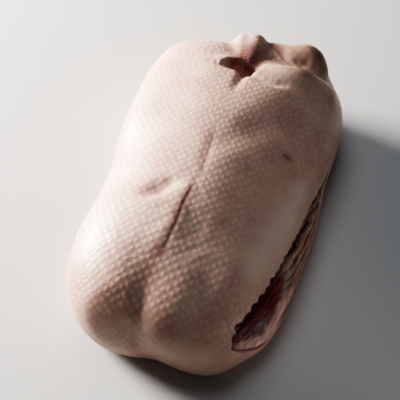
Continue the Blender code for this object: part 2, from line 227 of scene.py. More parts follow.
    # the right side falls away from the keel
    side = ((50, -112, 106), (58, -70, 106), (58, -30, 108), (50, 20, 112), (46, 80, 114), (44, 120, 110))
    wide = (26, 34, 34, 34, 32, 26)
    mark((x > -50) & (y < 190), side, wide, (2.5, 5.5, 5.0, 3.4, 2.6, 0.8))
    # dimple and fold on the left breast
    chest = (y > -100) & (y < 50)
    hollow = ((-8, -8, 119), (-20, -22, 119), (-33, -33, 116))
    mark(chest, hollow, (9, 10, 9), (0.2, 1.0, 1.9), 1.0)
    mark(chest, ((-30, -36, 117), (-37, -37, 115)), (5, 6), (0.8, 0.5), 1.0)
    ridge = ((-5, -18, 119), (-16, -34, 119), (-30, -47, 117), (-48, -52, 112))
    mark(chest, ridge, (7, 9, 10, 11), (-0.2, -0.8, -0.9, -0.2), 1.0)
    return d


# Wing cuts, as (Y, Z) outlines seen from the side, round from the tail end along the top
CUT_TOP = {1: ((97, 47), (66, 53), (36, 58), (5, 62), (-20, 66), (-43, 70), (-67, 75),
               (-97, 79), (-120, 79), (-136, 74), (-146, 64), (-149, 54)),
           -1: ((80, 44), (60, 49), (36, 53), (5, 57), (-20, 60), (-43, 62), (-67, 63),
                (-97, 63), (-118, 60), (-132, 54), (-138, 46))}
CUT_LOW = {1: ((-146, 44), (-136, 32), (-119, 23), (-98, 17), (-70, 15), (-30, 15), (14, 19), (58, 33)),
           -1: ((-132, 36), (-118, 26), (-96, 20), (-66, 17), (-30, 17), (10, 21), (54, 33))}
CUT_INNER_X = 66.0
FAR = 1e6
SCALLOP_DEPTH = (1.6, 3.2)    # teeth left in the cut edge, at its tail end and its neck end
SCALLOP_PITCH = (9.0, 13.5)
SCALLOP_STEP = 0.9
SCALLOP_UNEVEN = 0.35         # share by which one tooth is deeper or flatter than the next


def cut_outline(side, toothed):
    """closed (Y, Z) outline of a wing cut, its top edge toothed"""
    top = np.array(smooth_line(CUT_TOP[side], 4))
    low = np.array(smooth_line((CUT_TOP[side][-1],) + CUT_LOW[side] + (CUT_TOP[side][0],), 4))
    whole = np.linalg.norm(np.diff(top, axis=0), axis=1).sum()
    edge = []
    travelled = 0.0
    phase = 0.0
    for a, b in zip(top[:-1], top[1:]):
        size = np.linalg.norm(b - a)
        across = np.array((b[1] - a[1], a[0] - b[0])) / size
        count = max(1, round(size / SCALLOP_STEP))
        for i in range(count):
            share = (travelled + size * i / count) / whole
            depth = np.interp(share, (0, 1), SCALLOP_DEPTH) if toothed else 0.0
            depth *= 0.75 + SCALLOP_UNEVEN * math.sin(2.4 * math.floor(phase) + 1.0)
            edge.append(a + (b - a) * i / count + across * depth * abs(math.sin(math.pi * phase)))
            phase += size / count / np.interp(share, (0, 1), SCALLOP_PITCH)
        travelled += size
    return np.array(edge + list(low[:-1]))


def sides_of(ring, y, z):
    """each side of an outline, its nearest point to each place and the distance to that point"""
    for a, b in zip(ring, np.roll(ring, -1, axis=0)):
        ab = b - a
        t = np.clip(((y - a[0]) * ab[0] + (z - a[1]) * ab[1]) / (ab @ ab), 0, 1)
        at = a + t[:, None] * ab
        yield a, b, at, np.hypot(y - at[:, 0], z - at[:, 1])


def inside(y, z, ring):
    """distance into an outline, negative outside it"""
    nearest = np.full(len(y), FAR)
    odd = np.zeros(len(y), bool)
    for a, b, _, away in sides_of(ring, y, z):
        nearest = np.minimum(nearest, away)
        if a[1] != b[1]:
            crossing = (a[1] > z) != (b[1] > z)
            odd ^= crossing & (y < a[0] + (b[0] - a[0]) * (z - a[1]) / (b[1] - a[1]))
    return np.where(odd, nearest, -nearest)


def below_edge(side, y, z):
    """how far a point lies below the upper edge of a wing cut"""
    top = CUT_TOP[side]
    return np.interp(y, [q[0] for q in top][::-1], [q[1] for q in top][::-1]) - z


SKIN_WALL = 6.0         # skin with its fat
LAYER_GAP = 0.35
CUT_FLUSH = 1.2         # meat below the skin's outer face in the middle of a wing cut
CUT_STEP = 9.0          # meat below the skin along the upper edge of a wing cut
CUT_FRONT = 5.5         # meat below the skin round the shoulder joint
LIP_FLUSH = 2.0         # fat below the skin along the lower edge of a wing cut
BAND_PITCH = 6.4        # bands of muscle between the ribs
BAND_HEIGHT = 1.2
PLAIN_RING = {side: cut_outline(side, False) for side in (1, -1)}


def band_phase(y, below):
    """counts the bands of muscle down the cut; they fan out toward the tail"""
    waver = 0.12 * np.sin(y / 15.0) + 0.06 * np.sin(y / 5.1)
    return below * (1.0 + y * 0.0014) / BAND_PITCH - y * 0.011 + waver


def meat_depth(p):
    """depth of the meat below the outer face: even under the skin, rising in the wing cuts"""
    covered = SKIN_WALL + LAYER_GAP
    depth = np.full(len(p), covered)
    for side in (1, -1):
        here = p[:, 0] * side > CUT_INNER_X
        y = p[here, 1]
        z = p[here, 2]
        within = inside(y, z, PLAIN_RING[side])
        below = below_edge(side, y, z)
        floor = CUT_FLUSH + (CUT_FRONT - CUT_FLUSH) * step(-45, -85, y)
        floor = floor - (floor - LIP_FLUSH) * step(42, 32, z)
        floor = floor + (CUT_STEP - floor) * (1 - step(3, 15, below))
        ripple = np.cos(2 * math.pi * band_phase(y, below))
        floor = floor - BAND_HEIGHT * ripple * step(3, 9, within) * step(4, 12, below)
        depth[here] = covered + (floor - covered) * step(1.2, 6.5, within)
    return depth


JOINTS = {1: ((101.6, -108.0, 48.0), -28.0), -1: ((-102.6, -98.0, 43.0), 14.0)}
JOINT_HALF = (6.0, 11.0, 8.5)
JOINT_GAP = 0.6


def meat(p):
    """outer face of the meat, socketed round the shoulder joints"""
    d = smax(bird(p), -p[:, 2], TABLE_BLEND) + meat_depth(p)
    for side, (centre, turn) in JOINTS.items():
        q = turned(p, centre, turn)
        q[:, 0] = side * np.minimum(side * q[:, 0], 0)
        d = smax(d, -swell(q, (0, 0, 0), [h + JOINT_GAP for h in JOINT_HALF]), 0.8)
    return d


BOX_LOW = np.array((-135.0, -185.0, -12.0))      # each point starts on this box
BOX_HIGH = np.array((138.0, 240.0, 135.0))
CORE_LOW = np.array((-72.0, -112.0, 34.0))       # and is moved toward this core
CORE_HIGH = np.array((72.0, 150.0, 62.0))
COARSE = 3                                       # every third line is moved from the box itself
COARSE_ROUNDS = 60
FINE_ROUNDS = 10
STRIDE = 0.85                                    # share of the distance that a move covers
NEAR_ENOUGH = 0.02


def march(field, start, way, reach, t, rounds):
    """moves points along their ways, from t on, until they lie on the field's face"""
    live = np.arange(len(t))
    for _ in range(rounds):
        f = field(start[live] + way[live] * t[live, None])
        t[live] = np.clip(t[live] + STRIDE * f, 0, reach[live])
        live = live[np.abs(f) > NEAR_ENOUGH]
        if len(live) == 0:
            break
    return t


def filled_in(t):
    """fills in the lines between the coarse ones, in both directions"""
    for axis in (0, 1):
        t = np.moveaxis(t, axis, 0)
        at = np.arange((len(t) - 1) * COARSE + 1) / COARSE
        low = np.minimum(at.astype(int), len(t) - 2)
        share = (at - low)[:, None]
        t = np.moveaxis(t[low] * (1 - share) + t[low + 1] * share, 0, axis)
    return t


def wrap(field, lines):
    """six sheets of points on a field, from the shares at which lines cross a box's sides"""
    sheets = {}
    for axis, end in ((2, 1), (0, 0), (0, 1), (1, 0), (1, 1), (2, 0)):
        u = (axis + 1) % 3
        v = (axis + 2) % 3
        share = np.zeros((len(lines[u]), len(lines[v]), 3))
        share[..., axis] = end
        share[..., u] = lines[u][:, None]
        share[..., v] = lines[v][None, :]
        start = BOX_LOW + (BOX_HIGH - BOX_LOW) * share
        way = CORE_LOW + (CORE_HIGH - CORE_LOW) * share - start
        reach = np.linalg.norm(way, axis=-1)
        way = way / reach[..., None]
        few = start[::COARSE, ::COARSE]
        few_way = way[::COARSE, ::COARSE].reshape(-1, 3)
        few_reach = reach[::COARSE, ::COARSE].reshape(-1)
        t = march(field, few.reshape(-1, 3), few_way, few_reach, np.zeros(few_reach.size), COARSE_ROUNDS)
        t = filled_in(t.reshape(few.shape[:2])).reshape(-1)
        t = march(field, start.reshape(-1, 3), way.reshape(-1, 3), reach.reshape(-1), t, FINE_ROUNDS)
        sheets[axis, end] = start + way * t.reshape(reach.shape)[..., None]
    return sheets


def weld(sheets, lines, extra=()):
    """joins the sheets at their edges: points, faces, and each extra value by point"""
    size = [len(line) for line in lines]
    numbered = {}
    codes = []
    for (axis, end), sheet in sheets.items():
        u = (axis + 1) % 3
        v = (axis + 2) % 3
        key = np.zeros(sheet.shape[:2] + (3,), int)
        key[..., axis] = end * (size[axis] - 1)
        key[..., u] = np.arange(size[u])[:, None]
        key[..., v] = np.arange(size[v])[None, :]
        code = key @ np.array((1, 1000, 1000000))
        numbered[axis, end] = code
        codes.append(code.reshape(-1))
    unique, first, number = np.unique(np.concatenate(codes), return_index=True, return_inverse=True)
    values = [np.concatenate([s.reshape(-1, 3) for s in sheets.values()])[first]]
    values += [np.concatenate([e[k].reshape(-1) for k in sheets])[first] for e in extra]
    faces = []
    at = 0
    for (axis, end), code in numbered.items():
        index = number[at:at + code.size].reshape(code.shape)
        at += code.size
        if (axis, end) == (2, 0):
            faces += coarse_faces(index)
            continue
        ring = [index[:-1, :-1], index[1:, :-1], index[1:, 1:], index[:-1, 1:]]
        ring = np.stack(ring if end else ring[::-1], -1).reshape(-1, 4)
        faces += ring.tolist()
    used = np.array(sorted({v for f in faces for v in f}))
    place = np.full(len(unique), -1)
    place[used] = np.arange(len(used))
    return [v[used] for v in values], [place[f].tolist() for f in faces]


def coarse_faces(index):
    """the bird's back, in cells three times as wide, whose outermost keep the fine edge"""
    faces = []
    last = (index.shape[0] - 1, index.shape[1] - 1)
    for i in range(0, last[0], COARSE):
        for j in range(0, last[1], COARSE):
            corners = ((i, j), (i, j + COARSE), (i + COARSE, j + COARSE), (i + COARSE, j))
            ring = []
            for (a, b), (c, d) in zip(corners, corners[1:] + corners[:1]):
                edge = (a == c and a in (0, last[0])) or (b == d and b in (0, last[1]))
                parts = COARSE if edge else 1
                for k in range(parts):
                    ring.append(int(index[a + (c - a) * k // parts, b + (d - b) * k // parts]))
            faces.append(ring)
    return faces


def even_lines(cell):
    """shares of evenly spaced lines along X, Y and Z, a multiple of the coarse step"""
    counts = [COARSE * max(1, round(s / cell / COARSE)) for s in BOX_HIGH - BOX_LOW]
    return [np.linspace(0, 1, n + 1) for n in counts]


def piece(name, points, faces, masks):
    """an object from points in millimetres, with a value by point for each mask"""
    mesh = bpy.data.meshes.new(name)
    mesh.from_pydata((points + SHIFT) * MM, [], faces)
    mesh.update()
    mesh.shade_smooth()
    for mask, values in masks.items():
        mesh.attributes.new(mask, "FLOAT", "POINT").data.foreach_set("value", values.astype(np.float32))
    made = bpy.data.objects.new(name, mesh)
    bpy.context.scene.collection.objects.link(made)
    return made


def mesh_normals(points, faces):
    """outward normals by point, and each point's neighbours as edges"""
    mesh = bpy.data.meshes.new("measure")
    mesh.from_pydata(points, [], faces)
    mesh.update()
    normals = np.zeros(len(points) * 3, np.float32)
    mesh.vertex_normals.foreach_get("vector", normals)
    edges = np.zeros(len(mesh.edges) * 2, np.int32)
    mesh.edges.foreach_get("vertices", edges)
    bpy.data.meshes.remove(mesh)
    return normals.reshape(-1, 3).astype(float), edges.reshape(-1, 2)


def trail(p, points, widths):
    """a soft mask, 1 along points and 0 away from them"""
    return relief(p, points, widths, [1.0] * len(points), 1.0)


def feed(tree, socket, value):
    """links a node's output to a socket, or sets a plain value there"""
    if isinstance(value, bpy.types.NodeSocket):
        tree.links.new(value, socket)
    else:
        socket.default_value = (*value, 1.0) if socket.type == "RGBA" else value


def shader_node(tree, kind, **values):
    """adds a node with its own settings, then fills its sockets by name or by number"""
    made = tree.nodes.new("ShaderNode" + kind)
    for name, value in values.items():
        if name in made.bl_rna.properties:
            setattr(made, name, value)
        else:
            feed(tree, made.inputs[int(name) if name.isdigit() else name.replace("_", " ")], value)
    return made


def blend_colour(tree, share, a, b):
    """a where share is 0 and b where it is 1"""
    return shader_node(tree, "Mix", data_type="RGBA", **{"0": share, "6": a, "7": b}).outputs[2]


def mask_of(tree, name):
    return shader_node(tree, "Attribute", attribute_name=name).outputs["Fac"]


def maths(tree, operation, a, b=0.0):
    kept = operation in ("MULTIPLY", "ADD")
    return shader_node(tree, "Math", operation=operation, use_clamp=kept, **{"0": a, "1": b}).outputs[0]


def mottling():
    """node group: blotches under moist skin or in meat, and the fine grain of its surface"""
    group = bpy.data.node_groups.new("mottling", "ShaderNodeTree")
    sizes = {"Blotch Size": 0.03, "Fleck Size": 0.004, "Grain Size": 0.001}
    for name, usual in sizes.items():
        socket = group.interface.new_socket(name, in_out="INPUT", socket_type="NodeSocketFloat")
        socket.default_value = usual
    stretch = group.interface.new_socket("Stretch", in_out="INPUT", socket_type="NodeSocketVector")
    stretch.default_value = (1, 1, 1)
    for name in ("Blotches", "Flecks", "Grain"):
        group.interface.new_socket(name, in_out="OUTPUT", socket_type="NodeSocketFloat")
    given = group.nodes.new("NodeGroupInput").outputs
    result = group.nodes.new("NodeGroupOutput").inputs
    place = shader_node(group, "TexCoord").outputs["Object"]
    place = shader_node(group, "VectorMath", operation="MULTIPLY", **{"0": place, "1": given["Stretch"]})
    for size, name, detail in zip(sizes, ("Blotches", "Flecks", "Grain"), (3.0, 3.0, 2.0)):
        scale = maths(group, "DIVIDE", 1.0, given[size])
        noise = shader_node(group, "TexNoise", Vector=place.outputs[0], Scale=scale, Detail=detail)
        clear = shader_node(group, "MapRange", Value=noise.outputs[0], From_Min=0.32, From_Max=0.68)
        group.links.new(clear.outputs[0], result[name])
    return group


MOTTLING = mottling()


def new_material(name):
    material = bpy.data.materials.new(name)
    material.use_nodes = True
    tree = material.node_tree
    shader = tree.nodes["Principled BSDF"]
    return material, tree, shader


def moist(tree, shader, colour, height, depth, roughness):
    """colour, wetness, and bump from a height"""
    bump = shader_node(tree, "Bump", Height=height, Strength=1.0, Distance=depth)
    feed(tree, shader.inputs["Base Color"], colour)
    feed(tree, shader.inputs["Normal"], bump.outputs[0])
    feed(tree, shader.inputs["Roughness"], roughness)


MEAT_CELL = 1.2         # in the wing cuts
HIDDEN_CELL = 6.0       # under the skin
CUTS_END = 0.70         # share of the box's length up to which it holds the wing cuts
CUTS_FROM = 0.10        # shares of its height between which they lie
CUTS_TO = 0.84
CUTS_LENGTH = 255.0     # what those shares measure on the meat, and what is left behind the cuts
CUTS_HEIGHT = 75.0
REAR_LENGTH = 108.0
MEAT_WIDTH = 240.0


def meat_lines():
    """lines close together over the wing cuts and wide apart under the skin"""
    y = np.concatenate([np.linspace(0, CUTS_END, int(CUTS_LENGTH / MEAT_CELL)),
                        np.linspace(CUTS_END, 1, int(REAR_LENGTH / HIDDEN_CELL))[1:]])
    z = np.concatenate([np.linspace(0, CUTS_FROM, 4)[:-1],
                        np.linspace(CUTS_FROM, CUTS_TO, int(CUTS_HEIGHT / MEAT_CELL)),
                        np.linspace(CUTS_TO, 1, 4)[1:]])
    x = np.linspace(0, 1, int(MEAT_WIDTH / HIDDEN_CELL))
    lines = []
    for line in (x, y, z):
        count = (len(line) - 1) // COARSE * COARSE
        at = np.linspace(0, len(line) - 1, count + 1)
        lines.append(np.interp(at, np.arange(len(line)), line))
    return lines


RIB = ((-34, 56), (-52, 52), (-66, 44))          # (Y, Z) lines on the right wing cut
RED_STRIP = ((-58, 60), (-80, 50), (-97, 41))
FAT_LIP = ((-52, 33), (-76, 37), (-96, 33), (-116, 31), (-130, 37), (-138, 46))
LOWER = {1: 0, -1: 9}                            # how much lower the rib and strip lie on each side


def meat_masks(p):
    """where the cut shows the pocket and slits painted dark as shade, muscle bands, red and purple meat,
    gristle and fat
    """
    names = ("pocket_shade", "band", "slit_shade", "sinew", "red", "tissue", "fat")
    masks = {name: np.zeros(len(p)) for name in names}
    for side in (1, -1):
        here = p[:, 0] * side > CUT_INNER_X
        y = p[here, 1]
        z = p[here, 2]
        below = below_edge(side, y, z)
        flat = np.stack([y, z, np.zeros(len(y))], -1)

        def streak(line, widths, lower):
            return trail(flat, [(a, b - lower, 0) for a, b in line], widths)

        front = step(-40, -78, y)
        phase = band_phase(y, below)
        crest = 0.5 + 0.5 * np.cos(2 * math.pi * phase)
        cut_up = 0.5 + 0.5 * np.sin(y / 5.6 + np.floor(phase + 0.5) * 2.4)
        # painted shade: near black in the pocket under the skin's upper edge, where the skin overhangs the
        # meat
        masks["pocket_shade"][here] = 1 - step(3 + 3 * front, 8 + 6 * front, below)
        masks["band"][here] = (0.35 + 0.65 * crest) * (1 - front)
        # painted shade: near-black slits in the grooves between the bands of muscle
        masks["slit_shade"][here] = (1 - step(0.05, 0.6, crest)) * step(0.25, 0.6, cut_up) * (1 - front)
        masks["sinew"][here] = streak(RIB, (5, 7, 6), LOWER[side])
        masks["red"][here] = streak(RED_STRIP, (5, 7, 4), LOWER[side])
        _, middle_y, middle_z = JOINTS[side][0]
        masks["tissue"][here] = step(22, 12, np.hypot(y - middle_y, (z - middle_z) * 1.15))
        masks["fat"][here] = np.clip(1.5 * streak(FAT_LIP, (5, 6, 7, 9, 8, 5), 0), 0, 1)
    return masks


meat_form = meat_lines()
(meat_points,), meat_faces = weld(wrap(meat, meat_form), meat_form)
flesh = piece("flesh_visual", meat_points, meat_faces, meat_masks(meat_points))
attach(flesh, "root")
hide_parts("flesh")

# painted shade: near black in the pocket under the skin's upper edge
POCKET_SHADE = (0.035, 0.005, 0.008)
PURPLE_MEAT = (0.13, 0.026, 0.040)
RED_MEAT = (0.23, 0.036, 0.038)
MUSCLE = (0.64, 0.44, 0.35)
MUSCLE_RED = (0.38, 0.17, 0.13)
# painted shade in the slits between the bands of muscle
SLIT_SHADE = (0.07, 0.022, 0.013)
SINEW = (0.44, 0.33, 0.26)
TISSUE = (0.30, 0.16, 0.17)
FAT = (0.85, 0.58, 0.52)

finish, tree, shader = new_material("raw_meat")
marks = shader_node(tree, "Group", node_tree=MOTTLING, Blotch_Size=0.014, Fleck_Size=0.0026,
                    Stretch=(1.0, 0.22, 1.0)).outputs
muscle = blend_colour(tree, marks["Flecks"], MUSCLE_RED, MUSCLE)
tissue = blend_colour(tree, marks["Blotches"], TISSUE, RED_MEAT)
fat = blend_colour(tree, maths(tree, "MULTIPLY", marks["Flecks"], 0.45), FAT, RED_MEAT)
colour = blend_colour(tree, marks["Flecks"], PURPLE_MEAT, RED_MEAT)
# the slits and the pocket, both painted shade, are laid on last
for name, over in (("band", muscle), ("red", RED_MEAT), ("tissue", tissue), ("sinew", SINEW), ("fat", fat),
                   ("slit_shade", SLIT_SHADE), ("pocket_shade", POCKET_SHADE)):
    colour = blend_colour(tree, mask_of(tree, name), colour, over)
moist(tree, shader, colour, marks["Flecks"], depth=0.0007, roughness=0.28)
shader.inputs["Specular IOR Level"].default_value = 0.5
flesh.data.materials.append(finish)

# ---------------------------------------------------------------------------------------
# The shoulder joints: rounded ends of gristle, grey and wet, left in each wing cut. They
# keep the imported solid's form, with a soft rim and a finer surface.
# ---------------------------------------------------------------------------------------
GRISTLE = (0.20, 0.15, 0.17)
GRISTLE_RIM = (0.34, 0.20, 0.20)
GRISTLE_RED = (0.17, 0.035, 0.045)

KNOB_RINGS = 28
KNOB_AROUND = 44
KNOB_SHARE = 0.985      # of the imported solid, so that the uneven surface stays inside it
KNOB_DENT = 0.05        # hollow in the middle of the shown end
KNOB_LUMPS = 0.02


def knob(side):
    """a joint about its own middle: points, faces, and a mask for the rim of the shown end"""
    tilt, spin = np.meshgrid(np.linspace(0, math.pi, KNOB_RINGS + 1)[1:-1],
                             np.linspace(0, 2 * math.pi, KNOB_AROUND, endpoint=False), indexing="ij")
    tilt = np.append(tilt, (0, math.pi))
    spin = np.append(spin, (0, 0))
    unit = np.stack([np.sin(tilt) * np.cos(spin), np.sin(tilt) * np.sin(spin), np.cos(tilt)], -1)
    shown = unit[:, 0] * side
    dent = 1 - KNOB_DENT * np.exp(-((shown - 1) / 0.35) ** 2)
    lumps = 1 + KNOB_LUMPS * np.sin(5 * spin + 1.0) * np.sin(tilt) ** 2
    points = unit * (dent * lumps * KNOB_SHARE)[:, None] * np.array(JOINT_HALF)
    rows = np.arange((KNOB_RINGS - 1) * KNOB_AROUND).reshape(-1, KNOB_AROUND)
    after = np.roll(rows, -1, axis=1)
    faces = np.stack([rows[:-1], rows[1:], after[1:], after[:-1]], -1).reshape(-1, 4).tolist()
    faces += [[rows.size, a, b] for a, b in zip(rows[0].tolist(), after[0].tolist())]
    faces += [[rows.size + 1, b, a] for a, b in zip(rows[-1].tolist(), after[-1].tolist())]
    return points, faces, 1 - step(0.15, 0.55, shown)


finish, tree, shader = new_material("wet_gristle")
marks = shader_node(tree, "Group", node_tree=MOTTLING, Blotch_Size=0.009, Fleck_Size=0.003).outputs
colour = blend_colour(tree, mask_of(tree, "rim"), GRISTLE, GRISTLE_RIM)
colour = blend_colour(tree, maths(tree, "MULTIPLY", marks["Blotches"], 0.45), colour, GRISTLE_RED)
moist(tree, shader, colour, marks["Flecks"], depth=0.0003, roughness=0.38)
for name, side in (("shoulder_joint_right", 1), ("shoulder_joint_left", -1)):
    points, faces, rim = knob(side)
    centre, turn = JOINTS[side]
    placed = turned(points, (0, 0, 0), -turn) + np.array(centre)
    joint = piece(name + "_visual", placed, faces, {"rim": rim})
    joint.data.materials.append(finish)
    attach(joint, "root")
    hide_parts(name)

# ---------------------------------------------------------------------------------------
# The skin: moist, cream-pink, with its fat a sheet 6 mm thick over the whole bird. Each
# feather left a small raised hole, in crossing rows. It is open over both wing cuts, with
# a thick soft edge that hangs over the meat.
# ---------------------------------------------------------------------------------------
SKIN_CELL = 1.94
HOLE_HEIGHT = 0.25      # how far a feather hole stands up
HOLE_RADIUS = 1.9
HOLE_SPACING = 6.4      # from one row to the next
HOLE_WANDER = 0.5       # how far a hole strays from its place in the rows
HOLE_ROWS = (8.6, 9.5)  # spacing across and along, with one hole in the middle of each four
LIP_ROUND = 1.5         # rounding of the cut edge
LIP_DEPTH = 5.0
UNDER_DEPTH = 18.0      # the hidden floor of a cut, under the meat
LIP_PROFILE = [(LIP_ROUND * math.sin(a), LIP_ROUND * (1 - math.cos(a))) for a in (0.5, 1.05, 1.57)]
LIP_PROFILE += [(LIP_ROUND, 3.2), (LIP_ROUND - 0.6, LIP_DEPTH), (-0.5, LIP_DEPTH + 3), (0.0, UNDER_DEPTH)]
SLACK_ROOM = 0.6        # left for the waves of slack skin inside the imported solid

# creases and folds: points, widths, and depths, which are negative where the skin bulges
WRINKLES = (
    (((44, 150, 111), (30, 146, 113), (16, 149, 112)), (2.2, 2.6, 2.2), (0.2, 0.9, 0.2)),
    (((30, 176, 109), (46, 172, 110), (64, 176, 106)), (4, 5, 4), (0.2, 0.8, 0.2)),
    (((14, 206, 97), (24, 200, 98), (30, 192, 96)), (4, 5, 4), (0.4, 2.0, 0.8)),
    (((4, -24, 120), (8, -50, 120), (9, -76, 119), (4, -96, 115)), (9, 12, 12, 9), (0.3, 1.3, 1.3, 0.3)),
    (((-20, -22, 119), (-36, -24, 117), (-48, -18, 113)), (2.5, 3, 3), (0.3, 0.5, 0.1)),
    (((-24, -46, 118), (-40, -44, 115), (-52, -38, 111)), (2.5, 3, 3), (0.1, 0.5, 0.1)),
    (((0, -10, 120), (6, -22, 119), (14, -30, 118)), (3, 3, 3), (0.1, 0.4, 0.1)),
    (((2, -44, 120), (12, -58, 118), (26, -66, 115)), (4, 4, 5), (0.2, 0.5, 0.1)),
    (((-6, -60, 120), (-18, -72, 118), (-24, -84, 116)), (3, 4, 4), (0.2, 0.5, 0.1)),
    # slits beside the right wing cut
    (((68, -128, 98), (76, -136, 89), (83, -142, 79), (88, -142, 70)), (1.9,) * 4, (0.2, 1.3, 1.3, 0.2)),
    (((75, -122, 98), (82, -130, 89), (88, -136, 80)), (1.9,) * 3, (0.2, 1.0, 0.2)),
    # the dimple, and the closed left end of the vent
    (((-43, -37, 114), (-34, -30, 115), (-26, -22, 117)), (8, 9, 6), (2.4, 2.4, 2.4)),
    (((-47, 151, 112), (-38, 153, 109), (-28, 157, 105), (-20, 160, 101)), (4, 6, 7, 7),
     (-0.3, -3.5, -10.5, -10.0)),
)
# bulges beside the dimple and on the flat of the neck, and where slack skin lies in low waves
BULGES = ((0.9, (-34, -12, 117), (16, 8, 18)), (4.5, (-20, -162, 72), (24, 16, 24)))
SLACK = ((0.35, (-26, -30, 117), (26, 34, 20)), (0.25, (20, -80, 114), (30, 40, 20)),
         (0.3, (-60, -100, 96), (30, 40, 30)), (0.25, (84, -90, 84), (20, 60, 30)))
TAIL_PIMPLES = ((0.4, (-8, 180, 103), (16, 16, 14)),)
BACK_FOLDS = ((0.5, (38, 196, 98), (34, 18, 14)),)
NECK_CRINKLES = ((0.3, (84, -112, 84), (16, 34, 26)),)


def spot(p, centre, radius):
    """a soft mask, 1 at centre and 0 away from it"""
    return np.exp(-(((p - np.array(centre, float)) / np.array(radius, float)) ** 2).sum(-1))


def soft_marks(p, rows):
    """adds up amounts of trails, from points and widths, and of spots, from a centre and radii"""
    total = np.zeros(len(p))
    for amount, place, size in rows:
        mark = trail if isinstance(place[0], tuple) else spot
        total += amount * mark(p, place, size)
    return total


def wrinkles(p):
    """creases, folds, low waves and crinkles of slack skin, and the pimples on the tail"""
    d = np.zeros(len(p))
    here = p[:, 2] > 30
    q = p[here]
    x = q[:, 0]
    y = q[:, 1]
    for line in WRINKLES:
        d[here] += relief(q, *line, 1.0)
    waves = np.sin(x / 5.3 + 1.7 * np.sin(y / 9.1)) * np.sin(y / 6.1 + 1.3 * np.sin(x / 8.3))
    d[here] += waves * soft_marks(q, SLACK) - soft_marks(q, BULGES)
    d[here] += np.sin(x * 1.15 + 0.4) * np.sin(y * 1.05) * soft_marks(q, TAIL_PIMPLES)
    d[here] += np.sin(y * 0.7 + 0.12 * x) * np.sin(x * 0.31) * soft_marks(q, BACK_FOLDS)
    d[here] += np.sin(x * 0.9 + 0.5 * np.sin(y / 4)) * soft_marks(q, NECK_CRINKLES)
    return d


def outer(p):
    """outer face of the skin, leaving room for the feather holes"""
    return smax(bird(p) + wrinkles(p) + HOLE_HEIGHT + SLACK_ROOM, -p[:, 2], TABLE_BLEND)


def arc(sheet, axis):
    """length along the lines of a sheet"""
    size = np.linalg.norm(np.diff(sheet, axis=axis), axis=-1)
    start = np.zeros_like(np.take(size, [0], axis=axis))
    return np.concatenate([start, np.cumsum(size, axis=axis)], axis=axis)


def skin_rows(sheets):
    """distance across the bird from the keel, and along it, at each point of each sheet"""
    top = sheets[2, 1]
    middle = int(round((-4 - BOX_LOW[0]) / (BOX_HIGH[0] - BOX_LOW[0]) * (top.shape[0] - 1)))
    centre = top.shape[1] // 2
    across = {}
    length = {}
    u = arc(top, 0)
    v = arc(top, 1)
    across[2, 1] = u - u[middle]
    length[2, 1] = v - v[:, [centre]]
    for end, sign in ((0, -1), (1, 1)):
        side = sheets[0, end]
        down = arc(side[:, ::-1], 1)[:, ::-1]
        across[0, end] = across[2, 1][-end][:, None] + sign * down
        v = arc(side, 0)
        length[0, end] = v - v[[centre]]
        cap = sheets[1, end]
        u = arc(cap, 1)
        across[1, end] = u - u[:, [middle]]
        down = arc(cap[::-1], 0)[::-1]
        length[1, end] = length[2, 1][:, -end][None, :] + sign * down
    under = sheets[2, 0].shape[:2]
    across[2, 0] = np.zeros(under)
    length[2, 0] = np.full(under, FAR)
    return across, length


def hole_rows(across, length):
    """place in the crossing rows of feather holes: a hole at each pair of whole numbers"""
    u = across + 1.6 * np.sin(length / 37.0 + 0.4)
    v = length + 1.4 * np.sin(across / 29.0 + 1.3)
    wide = np.clip(1.04 - length / 1300.0, 0.9, 1.3)
    a = u / (HOLE_ROWS[0] * wide)
    b = v / (HOLE_ROWS[1] * np.clip(1.04 - length / 2600.0, 0.9, 1.3))
    return a + b, a - b


def nearest_on(ring, y, z):
    """nearest point of an outline, and the way into the outline from there"""
    best = np.full(len(y), FAR)
    at = np.zeros((len(y), 2))
    into = np.zeros((len(y), 2))
    for a, b, place, away in sides_of(ring, y, z):
        closer = away < best
        best = np.where(closer, away, best)
        at[closer] = place[closer]
        into[closer] = np.array((a[1] - b[1], b[0] - a[0])) / np.linalg.norm(b - a)
    return at, into


def mean_of_neighbours(values, edges):
    total = np.zeros_like(values)
    count = np.zeros(len(values))
    for a, b in ((0, 1), (1, 0)):
        np.add.at(total, edges[:, a], values[edges[:, b]])
        np.add.at(count, edges[:, a], 1)
    return total / np.maximum(count, 1)[:, None]


OUTSIDE_X = 150.0       # beyond the bird's sides
RIM_ROUNDS = 4
RIM_REACH = 5.0         # width of the skin that is evened out on both sides of a rim
RIM_EASE = 0.6


def draw_cut(points, faces, normals, edges, side):
    """moves the points nearest a wing cut's outline onto it; gives the rim and the faces inside"""
    ring = cut_outline(side, True)
    near = points[:, 0] * side > CUT_INNER_X
    within = np.full(len(points), -FAR)
    within[near] = inside(points[near, 1], points[near, 2], ring)
    hole = np.array([sum(within[f]) > 0 for f in faces])
    touched = np.zeros((2, len(points)), bool)
    for f, h in zip(faces, hole):
        touched[int(h), f] = True
    is_rim = touched[0] & touched[1]
    rim = np.nonzero(is_rim)[0]
    beside = near & (np.abs(within) < RIM_REACH) & ~is_rim
    rim_edges = edges[is_rim[edges].all(1)]
    close = (beside | is_rim)[edges].any(1)
    for _ in range(RIM_ROUNDS):
        at, _ = nearest_on(ring, points[rim, 1], points[rim, 2])
        start = np.stack([np.full(len(rim), side * OUTSIDE_X), at[:, 0], at[:, 1]], -1)
        way = np.tile((-side, 0.0, 0.0), (len(rim), 1))
        t = march(outer, start, way, np.full(len(rim), OUTSIDE_X), np.zeros(len(rim)), COARSE_ROUNDS)
        points[rim] = start + way * t[:, None]
        slid = mean_of_neighbours(points, rim_edges)[rim]
        mean = mean_of_neighbours(points, edges[close])
        points[beside] += RIM_EASE * (mean[beside] - points[beside])
        points[beside] -= normals[beside] * outer(points[beside])[:, None]
        last = points[rim].copy()
        points[rim] = (points[rim] + slid) / 2
    points[rim] = last
    return rim, hole


